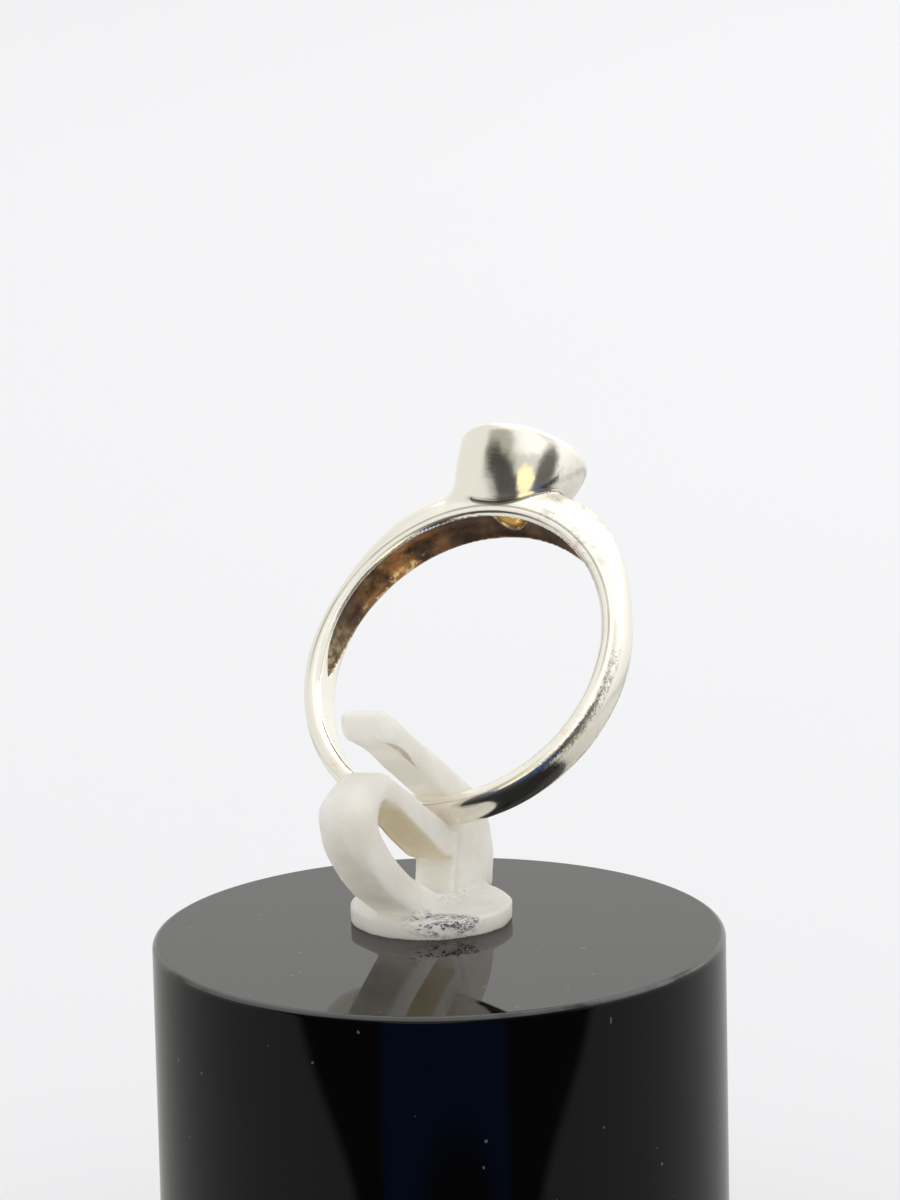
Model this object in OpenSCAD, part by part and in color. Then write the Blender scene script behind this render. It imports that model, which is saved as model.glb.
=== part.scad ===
// Silver ring with a deep bezel cup round one brilliant cut stone.
// A plastic clip grips the back of its shank and stands on a round acrylic pedestal.
// The origin is on the pedestal's axis at its underside, with +Z up.
// The finger hole faces -Y and tilts up, and the cup is at its top.

/* [Shank] */
// Diameter of the finger hole
finger_d = 17.3; // [15.7:0.1:19]
// Thickness of the shank opposite the cup
back_t = 1.15; // [0.9:0.05:1.15]
// Thickness of the shank at its sides
side_t = 1.32; // [1.2:0.02:1.6]
// Thickness of the shank beside the cup
shoulder_t = 2.55; // [2.2:0.05:2.7]
// Width of the shank opposite the cup
back_w = 2.35; // [2.0:0.05:2.4]
// Width of the shank beside the cup
shoulder_w = 3.05; // [2.8:0.05:3.4]
// Height of the flat side wall under the dome
wall_h = 0.6; // [0.4:0.05:0.7]
// Bevel along the two inside edges
edge_bevel = 0.25; // [0.1:0.05:0.25]

/* [Hollow inside the shank] */
// Angle from the cup to each pointed end of the hollow
hollow_reach = 98; // [70:1:120]
// Depth of the hollow under the cup
hollow_depth = 0.8; // [0.4:0.05:1.0]
// Metal left on each side of the hollow
hollow_rim = 0.28; // [0.26:0.02:0.5]

/* [Bezel cup] */
// Height of the rim above the centre of the finger hole
rim_height = 13.6; // [12.8:0.1:14]
// Outside diameter of the round wall under the rim
rim_d = 7.4; // [7.3:0.1:7.8]
// Width of the foot, across the shank
foot_w = 3.0; // [2.6:0.1:3.2]
// Reach of the foot to the right, where the wall swells out over the shoulder
foot_right = 2.1; // [1.8:0.1:3.4]
// Diameter of the hole between the cup and the hollow
gallery_d = 1.9; // [1.4:0.1:2.2]

/* [Stone] */
// Diameter of the girdle
stone_d = 6.5; // [6.0:0.1:6.8]
// Height of the rim above the girdle
setting_depth = 0.55; // [0.4:0.05:0.8]
// Gap between the stone and the metal
stone_gap = 0.05; // [0.03:0.01:0.1]

/* [Clip] */
// Width of the two arms along the shank
clip_w = 2.4; // [2.0:0.05:3.4]
// Diameter of the round foot
clip_foot_d = 8.9; // [8:0.1:10]
// Thickness of the round foot
clip_foot_t = 1.0; // [0.8:0.1:1.4]

/* [Pedestal] */
// Diameter of the pedestal
pedestal_d = 31.5; // [30:0.5:36]
// Height of the pedestal
pedestal_h = 25; // [12:1:60]
// Bevel along its two edges
pedestal_bevel = 0.25; // [0.1:0.05:0.6]

/* [Hidden] */

finger_r = finger_d / 2;

// How far the shapes that cut run past the surfaces that they open
overrun = 0.3;

// Where the ring is held: the lowest point of its finger hole above the pedestal's top,
// how far it leans back, and how far the cup swings to the left of the highest point
ring_seat = [-4, 4.17, 6.01];
ring_lean = 40;
ring_swing = 4.9;
ring_centre = ring_seat + finger_r * [0, sin(ring_lean), cos(ring_lean)];

// Where the clip stands on the pedestal's top, its turn about Z and the lean of its arms
clip_centre = [-2, 2.4];
clip_turn = 5;
clip_lean = 5.7;

// Angles from the cup between which the shoulders thin down, and the sides
shoulder_angles = [24, 72];
side_angles = [60, 150];

// How late the hollow narrows to its ends, as a power of the angle
hollow_taper = 10;

// Steps round the shank and over its dome
shank_steps = 96;
dome_steps = 12;
hollow_steps = 60;
scoop_steps = 8;

// Steps round the cup, up its wall and over its rim
cup_steps = 56;
wall_steps = 12;
rim_steps = 4;

// The cup's foot, sunk in the shoulders
cup_foot_z = finger_r + hollow_depth - 0.1;

// How far the wall bows out on its way from the foot to the rim: across the shank, and at the right
wall_bow = 0.7;
right_bow = 1.2;

// Heights between which the left side swells out a little, and how much
left_swell = [10.2, 12];
left_bulge = 0.14;

// How far the cup's middle stands to the left of the shank's, and the rounding of its rim
cup_shift = 0.08;
rim_round = 0.4;

// Inside the cup: the top of the gallery hole, the step and the slope of the seat under
// the girdle, and how far the rim is pushed in over the stone
gallery_top = finger_r + hollow_depth + 0.6;
seat_step = 0.5;
seat_slope = 0.43;
rim_hold = 0.2;

girdle_r = stone_d / 2;
girdle_t = 0.12;
girdle_z = rim_height - setting_depth;

// 0 before a, 1 after b and a smooth change between
function ease(a, b, x) = let (t = min(1, max(0, (x - a) / (b - a)))) t * t * (3 - 2 * t);

// Angle from the cup, 0 to 180, of a step angle
function from_cup(angle) = abs(angle > 180 ? angle - 360 : angle);

function shank_t(angle) = back_t
    + (side_t - back_t) * (1 - ease(side_angles[0], side_angles[1], from_cup(angle)))
    + (shoulder_t - side_t) * (1 - ease(shoulder_angles[0], shoulder_angles[1], from_cup(angle)));

function shank_w(angle) = back_w + (shoulder_w - back_w) * pow((1 + cos(angle)) / 2, 3);

// Point at a radius and an offset across the shank, turned by an angle from the cup
function on_shank(angle, radius, across) = [radius * sin(angle), across, radius * cos(angle)];

// D-shaped section: the flat inside with two bevels, the side walls and the dome
function shank_section(angle) =
    let (half = shank_w(angle) / 2, rise = shank_t(angle) - wall_h)
    concat(
        [on_shank(angle, finger_r, -half + edge_bevel), on_shank(angle, finger_r + edge_bevel, -half)],
        [for (i = [0:dome_steps]) let (a = 180 * i / dome_steps)
            on_shank(angle, finger_r + wall_h + rise * sin(a), -half * cos(a))],
        [on_shank(angle, finger_r + edge_bevel, half), on_shank(angle, finger_r, half - edge_bevel)]
    );

// Scooped section of the hollow, narrowing to a point at its two ends
function hollow_section(angle) =
    let (
        fade = 1 - pow(min(1, from_cup(angle) / hollow_reach), hollow_taper),
        half = max(0.01, (shank_w(angle) / 2 - hollow_rim) * fade),
        depth = max(0.01, min(hollow_depth, 0.5 * shank_t(angle)) * sqrt(fade))
    )
    concat(
        [on_shank(angle, finger_r - overrun, half), on_shank(angle, finger_r - overrun, -half)],
        [for (i = [0:scoop_steps]) let (a = 180 * i / scoop_steps)
            on_shank(angle, finger_r + depth * sin(a), -half * cos(a))]
    );

// Solid through rows of points, closed into a loop or capped at its two ends
module swept(rows, loop) {
    count = len(rows[0]);
    last = len(rows) - 1;
    walls = [for (i = [0:(loop ? last : last - 1)], j = [0:count - 1])
        let (p = i * count, q = (i == last ? 0 : i + 1) * count, k = (j + 1) % count)
        each [[p + j, p + k, q + k], [p + j, q + k, q + j]]];
    caps = loop ? [] : [[for (j = [count - 1:-1:0]) j], [for (j = [0:count - 1]) last * count + j]];
    polyhedron([for (row = rows) each row], concat(walls, caps), convexity = 10);
}

// Share of the way out from the foot to the rim at a height
function flare(z, bow) = let (u = (z - cup_foot_z) / (rim_height - cup_foot_z)) u * (1 + bow * (1 - u));

// Reach of the cup's wall to the left, to the right and across the shank at a height
function cup_left(z) = rim_d / 2 + cup_shift - left_bulge * (1 - ease(left_swell[0], left_swell[1], z));
function cup_right(z) = foot_right + (rim_d / 2 - cup_shift - foot_right) * flare(z, right_bow);
function cup_half_w(z) = foot_w / 2 + (rim_d - foot_w) / 2 * flare(z, wall_bow);

// Section of the cup at a height, two half ovals, smaller all round by an inset
function cup_row(z, inset) =
    [for (i = [0:cup_steps - 1])
        let (a = -360 * i / cup_steps, reach = cos(a) < 0 ? cup_left(z) : cup_right(z))
        [(reach - inset) * cos(a), (cup_half_w(z) - inset) * sin(a), z]];

module shank() swept([for (i = [0:shank_steps - 1]) shank_section(360 * i / shank_steps)], true);

module hollow() swept([for (i = [0:hollow_steps])
    hollow_section(hollow_reach * (2 * i / hollow_steps - 1))], false);

module cup() {
    wall_top = rim_height - rim_round;
    swept(concat(
        [for (i = [0:wall_steps]) cup_row(cup_foot_z + (wall_top - cup_foot_z) * i / wall_steps, 0)],
        [for (i = [1:rim_steps]) let (a = 90 * i / rim_steps)
            cup_row(wall_top + rim_round * sin(a), rim_round * (1 - cos(a)))]
    ), false);
}

// Space inside the cup: the gallery hole, the cone under the stone, its seat and the rim over it
module cup_space() {
    seat_r = girdle_r + stone_gap;
    gallery_r = gallery_d / 2;
    rim_r = seat_r - rim_hold;
    rotate_extrude($fn = 64) polygon([
        [0, finger_r - overrun],
        [gallery_r, finger_r - overrun],
        [gallery_r, gallery_top],
        [seat_r - seat_step, girdle_z - girdle_t - seat_slope],
        [seat_r, girdle_z - girdle_t],
        [seat_r, girdle_z + girdle_t],
        [rim_r, rim_height],
        [rim_r, rim_height + overrun],
        [0, rim_height + overrun]
    ]);
}

// Puts a shape made round the finger hole's centre into the clip
module placed_ring() {
    translate([0, 0, pedestal_h]) translate(ring_centre)
        rotate([-ring_lean, 0, 0]) rotate([0, -ring_swing, 0]) children();
}

module ring() {
    color("gainsboro") placed_ring() difference() {
        union() {
            shank();
            cup();
        }
        hollow();
        cup_space();
    }
}

// Round brilliant: table, stars, kites, upper and lower halves, mains and a pointed culet
module brilliant(d) {
    r = d / 2;
    table_r = 0.56 * r;
    crown_h = 0.3 * r;
    star_r = 0.78 * r;
    star_z = crown_h * (r - star_r * cos(22.5)) / (r - table_r);
    pavilion_h = 0.86 * r;
    low_r = 0.25 * r;
    low_z = pavilion_h * (r - low_r * cos(22.5)) / r;
    function ringed(radius, z, n, start) =
        [for (i = [0:n - 1]) let (a = start + 360 * i / n) [radius * cos(a), radius * sin(a), z]];
    points = concat(
        ringed(table_r, girdle_t + crown_h, 8, 0),
        ringed(star_r, girdle_t + star_z, 8, 22.5),
        ringed(r, girdle_t, 16, 0),
        ringed(r, 0, 16, 0),
        ringed(low_r, -low_z, 8, 22.5),
        [[0, 0, -pavilion_h]]
    );
    star = 8;
    upper = 16;
    lower = 32;
    low = 48;
    culet = 56;
    faces = concat(
        [[for (i = [7:-1:0]) i]],
        [for (i = [0:7]) let (n = (i + 1) % 8, p = (i + 7) % 8)
            each [
                [i, n, star + i],
                [star + p, i, star + i, upper + 2 * i],
                [upper + 2 * i, star + i, upper + 2 * i + 1],
                [upper + 2 * i + 1, star + i, upper + 2 * n],
                [upper + 2 * i + 1, lower + 2 * i + 1, lower + 2 * i, upper + 2 * i],
                [upper + 2 * n, lower + 2 * n, lower + 2 * i + 1, upper + 2 * i + 1],
                [lower + 2 * i, lower + 2 * i + 1, low + i],
                [lower + 2 * i + 1, lower + 2 * n, low + i],
                [low + p, lower + 2 * i, low + i, culet]
            ]]
    );
    polyhedron(points, faces, convexity = 2);
}

module stone() {
    color("aliceblue") placed_ring() translate([0, 0, girdle_z]) brilliant(stone_d);
}

// Outline through a table of corners, each [x, y, distance from the corner where its curve starts]
function curved(corners, steps = 5) =
    let (last = len(corners) - 1)
    [for (i = [0:last])
        let (
            row = corners[i],
            corner = [row[0], row[1]],
            before = corners[i == 0 ? last : i - 1],
            after = corners[i == last ? 0 : i + 1],
            to_before = [before[0], before[1]] - corner,
            to_after = [after[0], after[1]] - corner,
            start = corner + to_before * row[2] / norm(to_before),
            end = corner + to_after * row[2] / norm(to_after)
        )
        each row[2] == 0 ? [corner] : [for (s = [0:steps]) let (t = s / steps)
            start * (1 - t) * (1 - t) + corner * 2 * t * (1 - t) + end * t * t]];

// Profile of the clip's front arm, which loops round a window. As in the back arm's profile,
// x runs away from the front and y up from the pedestal.
module front_arm() {
    difference() {
        polygon(curved([
            [-2.7, 0.5, 0], [-6.45, 2.9, 0.8], [-7.9, 4.5, 0.9], [-9.3, 6.4, 0.9], [-9.3, 8.7, 1.1],
            [-5.5, 9.8, 0.6], [2.3, 4.28, 0.1], [1.9, 3.4, 0.3], [0.95, 1.5, 0.3], [0.8, 0.5, 0]
        ]));
        polygon(curved([
            [-6.1, 8.3, 0.5], [-6.95, 7.0, 0.6], [-5.6, 4.9, 1.0], [-3.3, 3.0, 1.0], [-0.4, 1.4, 0.5],
            [0.55, 1.65, 0.3], [1.1, 3.15, 0.25], [0.15, 3.5, 0.3], [-4.7, 7.6, 0.5]
        ]));
    }
}

// Profile of the back arm, whose tongue goes through the finger hole
module back_arm() {
    polygon(curved([
        [1.1, 0.5, 0], [1.3, 1.6, 0.3], [2.3, 3.6, 0.3], [2.95, 5.55, 0.15], [-3.5, 10.5, 0.9],
        [-5.55, 11.6, 0.5], [-5.6, 13.0, 0.5], [-4.4, 12.9, 0.4], [5.1, 5.9, 1.0], [6.05, 3.7, 1.0],
        [5.9, 1.9, 0.7], [5.3, 0.5, 0]
    ]));
}

module ring_clip() {
    color("lightgray") translate([clip_centre[0], clip_centre[1], pedestal_h]) {
        cylinder(h = clip_foot_t, d = clip_foot_d, $fn = 64);
        rotate([0, 0, clip_turn]) rotate([0, -clip_lean, 0]) rotate([90, 0, 90])
            linear_extrude(height = clip_w, center = true) {
                front_arm();
                back_arm();
            }
    }
}

module pedestal() {
    r = pedestal_d / 2;
    b = pedestal_bevel;
    color("dimgray") rotate_extrude($fn = 96) polygon([
        [0, 0], [r - b, 0], [r, b], [r, pedestal_h - b], [r - b, pedestal_h], [0, pedestal_h]
    ]);
}

ring();
stone();
ring_clip();
pedestal();
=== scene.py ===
"""A silver ring with a deep bezel cup, held by a frosted clip on a black acrylic pedestal.

The cast and moulded pieces are fields: functions that are negative inside the metal or the
plastic, worked out from the sizes below in millimetres. cast() meshes a field, and add_piece()
puts the mesh in the frame, in metres. The stone is one sector repeated by Geometry Nodes,
and the pedestal is turned from its outline.
"""

import math
from collections import namedtuple

import bpy
import numpy as np
from mathutils import Matrix, Vector


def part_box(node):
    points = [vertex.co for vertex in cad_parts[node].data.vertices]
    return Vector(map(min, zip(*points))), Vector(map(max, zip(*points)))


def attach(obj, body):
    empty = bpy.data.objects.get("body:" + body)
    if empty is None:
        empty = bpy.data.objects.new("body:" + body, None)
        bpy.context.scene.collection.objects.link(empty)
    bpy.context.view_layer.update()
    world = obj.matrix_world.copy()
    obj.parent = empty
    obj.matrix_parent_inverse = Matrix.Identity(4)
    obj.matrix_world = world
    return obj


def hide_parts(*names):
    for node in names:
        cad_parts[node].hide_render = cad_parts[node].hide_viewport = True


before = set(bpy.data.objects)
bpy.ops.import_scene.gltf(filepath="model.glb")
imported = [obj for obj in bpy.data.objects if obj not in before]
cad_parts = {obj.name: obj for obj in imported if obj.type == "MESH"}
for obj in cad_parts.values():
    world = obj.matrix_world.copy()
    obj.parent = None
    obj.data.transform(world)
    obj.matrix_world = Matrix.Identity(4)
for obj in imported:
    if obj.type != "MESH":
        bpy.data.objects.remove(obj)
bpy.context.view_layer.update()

MM = 0.001

# Shank: thin at the back, thicker at its sides and thickest at the shoulders by the cup. Its
# thickness changes between angles that are counted from the cup in degrees
FINGER_R = 17.3 / 2
BACK_T = 1.15
SIDE_T = 1.32
SHOULDER_T = 2.55
BACK_W = 2.35
SHOULDER_W = 3.05
WALL_H = 0.6
BEVEL_W = 0.28
BEVEL_H = 0.25
SHOULDER_ANGLES = (24, 72)
SIDE_ANGLES = (60, 150)
SHANK_ROUND = 0.06

# Hollow inside the shank: how many degrees it reaches from the cup, and how bluntly it ends
HOLLOW_REACH = 98
HOLLOW_DEPTH = 0.8
HOLLOW_RIM = 0.28
HOLLOW_TAPER = 10
HOLLOW_ROUND = 0.1

# Bezel cup, with heights from the finger hole's centre
RIM_HEIGHT = 13.6
RIM_D = 7.4
FOOT_W = 3.0
FOOT_RIGHT = 2.1
FOOT_Z = FINGER_R + HOLLOW_DEPTH - 0.1
WALL_BOW = 0.7
RIGHT_BOW = 1.2
LEFT_SWELL = (10.2, 12)
LEFT_BULGE = 0.14
CUP_SHIFT = 0.08
RIM_ROUND = 0.6
FOOT_ROUND = 0.1
GALLERY_R = 0.95
GALLERY_TOP = FINGER_R + HOLLOW_DEPTH + 0.6
GALLERY_ROUND = 0.12

# Fillets between the cup and the shank: a fine seam at the right, and solder from SOLDER_X leftwards
SEAM_FILLET = 0.25
SOLDER_FILLET = 0.7
SOLDER_X = (-1.2, -3.2)

RING_CELL = 0.11
RING_WOBBLE = (0.012, 3.1)

# Values kept on the ring's points: in the hollow, in the cup's inside, share of the hollow's reach,
# height above the finger hole, place across the shank as a share of its half width, and distance
# from the joint of the cup and the shank
RING_MARKS = ("hollow", "gallery", "reach", "rise", "flank", "joint")

# Stone, the ledge under its girdle and the lip of the rim over it
STONE_R = 6.5 / 2
SECTORS = 8
GIRDLE_T = 0.12
SETTING_DEPTH = 0.55
GIRDLE_Z = RIM_HEIGHT - SETTING_DEPTH
SEAT_R = STONE_R + 0.05
LEDGE_W = 0.5
LEDGE_H = 0.43
LIP_W = 0.2

# Where the ring is held, above the pedestal's top
RING_LEAN = math.radians(40)
RING_SWING = math.radians(4.9)
RING_SEAT = Vector((-4, 4.17, 6.01))

# Clip
CLIP_W = 2.4
CLIP_FOOT_R = 8.9 / 2
CLIP_FOOT_T = 1.0
CLIP_CENTRE = Vector((-2, 2.4, 0))
CLIP_TURN = math.radians(5)
CLIP_LEAN = math.radians(5.7)
ARM_ROUND = 0.3
WINDOW_ROUND = 0.15
CLIP_FOOT_ROUND = 0.12
CLIP_FILLET = 0.4
CLIP_CELL = 0.14
CLIP_WOBBLE = (0.03, 2.6)

# The worn corner of the clip's front loop, and how it sets in across, away from the front and up
WORN_ROUND = 1.6
WORN_RAMPS = ((0, 0.8), (-4.8, -7.2), (4.2, 7))

# Limits of the clip seen from the side: away from the front, and up
CLIP_LOW = (-10.4, -0.9)
CLIP_HIGH = (7.2, 13.7)

# Corners of the clip's outlines: away from the front, up, and where each corner's curve starts
FRONT_ARM = [
    (-2.7, 0.5, 0), (-6.45, 2.9, 0.8), (-7.9, 4.5, 0.9), (-9.3, 6.4, 0.9), (-9.3, 8.7, 1.1),
    (-5.5, 9.8, 0.6), (2.3, 4.28, 0.1), (1.9, 3.4, 0.3), (0.95, 1.5, 0.3), (0.8, 0.5, 0),
]
WINDOW = [
    (-6.1, 8.3, 0.5), (-6.95, 7.0, 0.6), (-5.6, 4.9, 1.0), (-3.3, 3.0, 1.0), (-0.4, 1.4, 0.5),
    (0.55, 1.65, 0.3), (1.1, 3.15, 0.25), (0.15, 3.5, 0.3), (-4.7, 7.6, 0.5),
]
BACK_ARM = [
    (1.1, 0.5, 0), (1.3, 1.6, 0.3), (2.3, 3.6, 0.3), (2.95, 5.55, 0.15), (-3.5, 10.5, 0.9),
    (-5.55, 11.6, 0.5), (-5.6, 13.0, 0.5), (-4.4, 12.9, 0.4), (5.1, 5.9, 1.0), (6.05, 3.7, 1.0),
    (5.9, 1.9, 0.7), (5.3, 0.5, 0),
]

# Outline of the glue that has dried on the right side of the tongue, with the same columns
GLUE = [
    (-5.95, 11.15, 0.2), (-4.9, 11.2, 0.6), (-3.3, 10.5, 0.6), (0.5, 7.1, 0.3), (-0.6, 7.25, 0.4),
    (-2.2, 8.0, 0.5), (-4.3, 9.4, 0.6),
]

# Crackled and stringy glue on the foot. Each has its place from the middle of the foot's
# underside, its turn about Z and its half sizes
Blot = namedtuple("Blot", "centre turn halves")
# The crackle's bright and dark flecks are painted glints and painted dark reflections on crackled glue
CRACKLE = Blot((2.8, -2.9, 0.9), math.radians(28), (2.1, 1.2, 0.8))
# The streaks' white is a painted highlight on glassy, stringy glue
STREAKS = Blot((0.9, -0.2, 1.1), math.radians(85), (3.0, 0.8, 0.9))

# Pedestal, from the frame
PEDESTAL_LOW, PEDESTAL_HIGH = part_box("pedestal")
PEDESTAL_R = (PEDESTAL_HIGH.x - PEDESTAL_LOW.x) / 2 / MM
PEDESTAL_H = (PEDESTAL_HIGH.z - PEDESTAL_LOW.z) / MM
PEDESTAL_EDGE = 0.3
PEDESTAL_HOLD = 0.06
PEDESTAL_SIDES = 192

# Wear on the right side of the shank, which sets in on a ramp along X. The scuffs and the pits
# each start and end on ramps over the ring's reach values, and the pits over its flank values too
# The pits are painted grey as well: a painted dark reflection on the lower right of the shank, over its
# pitted wear
RIGHT_SIDE = (-6 * MM, -2 * MM)
SCUFFED = ((0.12, 0.22), (0.4, 0.7))
PITTED = ((0.8, 0.95), (1.3, 1.45))
PITTED_FLANK = ((0.4, 0.55), (0.88, 0.95))

# Tarnish in the hollow, as ramps over the reach: a copper band and an olive tip. Gold glints are
# painted on the far edge as a highlight, with ramps over the reach and over the flank
COPPER_BAND = ((0.22, 0.42), (0.52, 0.72))
OLIVE_TIP = (0.66, 0.95)
GLINT_EDGE = ((0.3, 0.45), (0.6, 0.75))
GLINT_FLANK = (0.62, 0.74)

# Colours of the silver, its wear and its tarnish, and of the light and shade painted on it
SILVER = (0.95, 0.92, 0.85, 1)
WEAR_AND_REFLECTION_GREY = (0.24, 0.22, 0.18, 1)
PALE_GOLD = (0.9, 0.76, 0.5, 1)
# Painted shade along the shank's edges and in the crease round the cup
CREASE_SHADE_BLACK = (0.12, 0.1, 0.07, 1)
UMBER = (0.07, 0.04, 0.025, 1)
BROWN = (0.28, 0.16, 0.09, 1)
COPPER = (0.55, 0.25, 0.07, 1)
DARK_OLIVE = (0.14, 0.1, 0.05, 1)
OLIVE = (0.5, 0.4, 0.24, 1)
# Gold of flecks in the tarnish, and of the glints painted on the hollow's far edge
TARNISH_AND_GLINT_GOLD = (0.9, 0.66, 0.34, 1)
# Gold and a faint glow in the cup's gallery are painted light, standing in for light that comes through the
# stone
GALLERY_PAINTED_GOLD = (0.72, 0.56, 0.3, 1)
GALLERY_PAINTED_GLOW = (0.04, 0.03, 0.012, 1)
NO_GLOW = (0, 0, 0, 1)

# Colours of the clip and its glue, and of the glints and reflections painted on the glue
CLOUDY = (0.83, 0.8, 0.73, 1)
MILKY = (0.93, 0.91, 0.85, 1)
WINDOW_BEIGE = (0.62, 0.54, 0.38, 1)
GLUE_BROWN = (0.3, 0.2, 0.11, 1)
GLUE_HIGHLIGHT_WHITE = (0.97, 0.98, 1, 1)
CRACK_DARK_REFLECTION = (0.05, 0.05, 0.06, 1)
CRACK_GLINT = (0.85, 0.86, 0.9, 1)

# Colours of the pedestal and the floor
ACRYLIC = (0.001, 0.001, 0.0015, 1)
DUST_AND_EDGE_GREY = (0.09, 0.09, 0.09, 1)
PAPER = ((0.86, 0.86, 0.865, 1), (0.9, 0.9, 0.905, 1))

# Room that the polished pieces mirror. Angles are in degrees, and azimuth is counted from the
# camera's, to the right. The left and right walls change colour between two elevations
LEFT_WALL = ((40, 65), (0.87, 0.86, 0.81, 1), (1.2, 1.2, 1.17, 1))
RIGHT_WALL = ((-50, 25), (0.62, 0.61, 0.58, 1), (1.2, 1.19, 1.15, 1))
BACKDROP = (0.8, 0.805, 0.82, 1)
ROOM_STRENGTH = 0.95
INK = (0.045, 0.044, 0.038, 1)
HAZE = (0.05, 0.09, 0.13, 1)
BLUE = (0.03, 0.115, 0.36, 1)
GLARE_GOLD = (1.4, 1.2, 0.72, 1)

# Soft oval patches of the room. A patch leans by degrees across for each degree up
Patch = namedtuple("Patch", "azimuth elevation half_w half_h blur lean")
GREYS = [
    (Patch(-54, 22, 27, 18, 0.6, 0), 0.8, (0.36, 0.35, 0.28, 1)),
    (Patch(-14, 12, 34, 7, 0.7, 0), 0.5, (0.33, 0.33, 0.3, 1)),
    (Patch(56, 42, 24, 18, 0.6, 0), 0.25, (0.16, 0.16, 0.13, 1)),
]
LEFT_LOBE = Patch(-45, 0, 25, 20, 0.6, -0.9)
RIGHT_LOBE = Patch(33, 1, 25, 22, 0.6, 0.6)
BLUE_GAP = Patch(6, -19.4, 20, 1.5, 0.4, 0)
GLARE = Patch(-7, -1, 17, 10, 0.3, 0)

# Dark shape around the camera: its middle, its half width below and above a step, the blur of its
# sides, and the ramps up at its step, its top and the foot of the lobes beside it
DARK_MIDDLE = 2
DARK_HALF_W = (36, 62)
DARK_BLUR = 3
DARK_STEP = (-18.8, -16.6)
DARK_TOP = (-12, -8)
LOBE_FOOT = (-14, -9)

# Ramps at the sides of the blue stripe, at its ends, and at the ends of the hazy band
BLUE_SIDES = ((-26, -22), (24, 28))
BLUE_ENDS = ((-37, -31), (-14, -8))
HAZE_ENDS = ((-21.2, -18.8), (-16.7, -14.3))

# Above this ramp the room's shapes wander by some degrees across and up
WANDER_ABOVE = (-12, -4)
WANDER_ACROSS = 22
WANDER_UP = 14

# Softboxes: azimuth, elevation and power, with their distance and size in metres
SOFTBOXES = {"key": (120, 40, 2.2), "top": (190, 62, 0.8)}
SOFTBOX_AWAY = 0.9
SOFTBOX_SIZE = 0.7
SOFTBOX_AIM = Vector((0, 0, 0.04))

# Half a side of the floor, in metres
FLOOR_HALF = 2.5

# Camera: a 210 mm lens that looks down a little. The centre of the pedestal's top stands at the
# aim pixel of its picture
LENS = 210
SENSOR = 36
PHOTO = (900, 1200)
VIEW_AZIMUTH = math.radians(32.5)
VIEW_PITCH = math.radians(13.58)
VIEW_ROLL = math.radians(-1.264)
VIEW_DISTANCE = 0.3848
AIM_PIXEL = (438.97, 933.96)

TINY = 1e-9

# How often a mesh's points are moved onto the surface, and evened out
PASSES = 3


def ease(low, high, x):
    """0 below low, 1 above high and a smooth change between."""
    t = np.clip((x - low) / (high - low), 0, 1)
    return t * t * (3 - 2 * t)


def smooth_max(a, b, radius):
    """The common part of two fields, with the edge between them rounded."""
    near = np.maximum(radius - np.abs(a - b), 0) / radius
    return np.maximum(a, b) + near * near * radius / 4


def smooth_min(a, b, radius):
    """Two fields joined, with a fillet between them."""
    return -smooth_max(-a, -b, radius)


def oval(a, b, half_a, half_b):
    """Distance from an ellipse, to first order."""
    a, b = a / half_a, b / half_b
    size = np.hypot(a, b) + TINY
    slope = np.hypot(a / half_a, b / half_b) + TINY
    return (size - 1) * size / slope


def wobble(points, depth, length):
    """Slow unevenness of a surface finished by hand."""
    x, y, z = (2 * math.pi / length * points).T
    waves = [np.sin(x + 1.3 * np.sin(0.7 * z)), np.sin(1.1 * z + 0.8 * y), np.sin(0.9 * y - 0.6 * x)]
    return depth * sum(waves) / len(waves)


def skin(field, low, high, cell):
    """Points and quads where a field passes through zero, on a grid of cubic cells."""
    low = np.array(low, float)
    counts = np.ceil((np.array(high) - low) / cell).astype(int) + 1
    grid = np.stack(np.meshgrid(*(np.arange(n) for n in counts), indexing="ij"), -1)
    values = field((low + grid * cell).reshape(-1, 3)).reshape(counts)
    inside = values < 0
    cells = counts - 1
    corners = np.array([(i, j, k) for i in (0, 1) for j in (0, 1) for k in (0, 1)])
    filled = sum(inside[i:i + cells[0], j:j + cells[1], k:k + cells[2]].astype(int) for i, j, k in corners)
    crossed_cells = np.argwhere((filled > 0) & (filled < len(corners)))
    number = np.full(cells, -1)
    number[tuple(crossed_cells.T)] = np.arange(len(crossed_cells))

    sums = np.zeros((len(crossed_cells), 3))
    hits = np.zeros(len(crossed_cells))
    quads = []
    steps = np.eye(3, dtype=int)
    for axis in range(3):
        step, across, over = np.roll(steps, -axis, 0)
        for corner in corners[corners[:, axis] == 0]:
            start = crossed_cells + corner
            a = values[tuple(start.T)]
            b = values[tuple((start + step).T)]
            crossed = (a < 0) != (b < 0)
            share = np.where(crossed, a / np.where(crossed, a - b, 1), 0)
            sums += np.where(crossed[:, None], start + share[:, None] * step, 0)
            hits += crossed
        ends = np.moveaxis(inside, axis, 0)
        edges = np.argwhere(np.moveaxis(ends[:-1] != ends[1:], 0, axis))
        around = (edges, edges - across, edges - across - over, edges - over)
        quad = np.stack([number[tuple(beside.T)] for beside in around], -1)
        outward = inside[tuple(edges.T)]
        quads.append(np.where(outward[:, None], quad, quad[:, ::-1]))
    return low + cell * sums / hits[:, None], np.concatenate(quads)


def settle(points, field, cell):
    """Moves points onto the surface of a field."""
    nudge = 0.002
    for _ in range(PASSES):
        rises = [field(points + nudge * axis) - field(points - nudge * axis) for axis in np.eye(3)]
        slope = np.stack(rises, -1) / (2 * nudge)
        move = slope * (field(points) / ((slope ** 2).sum(1) + TINY))[:, None]
        points = points - np.clip(move, -cell, cell)
    return points


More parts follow.
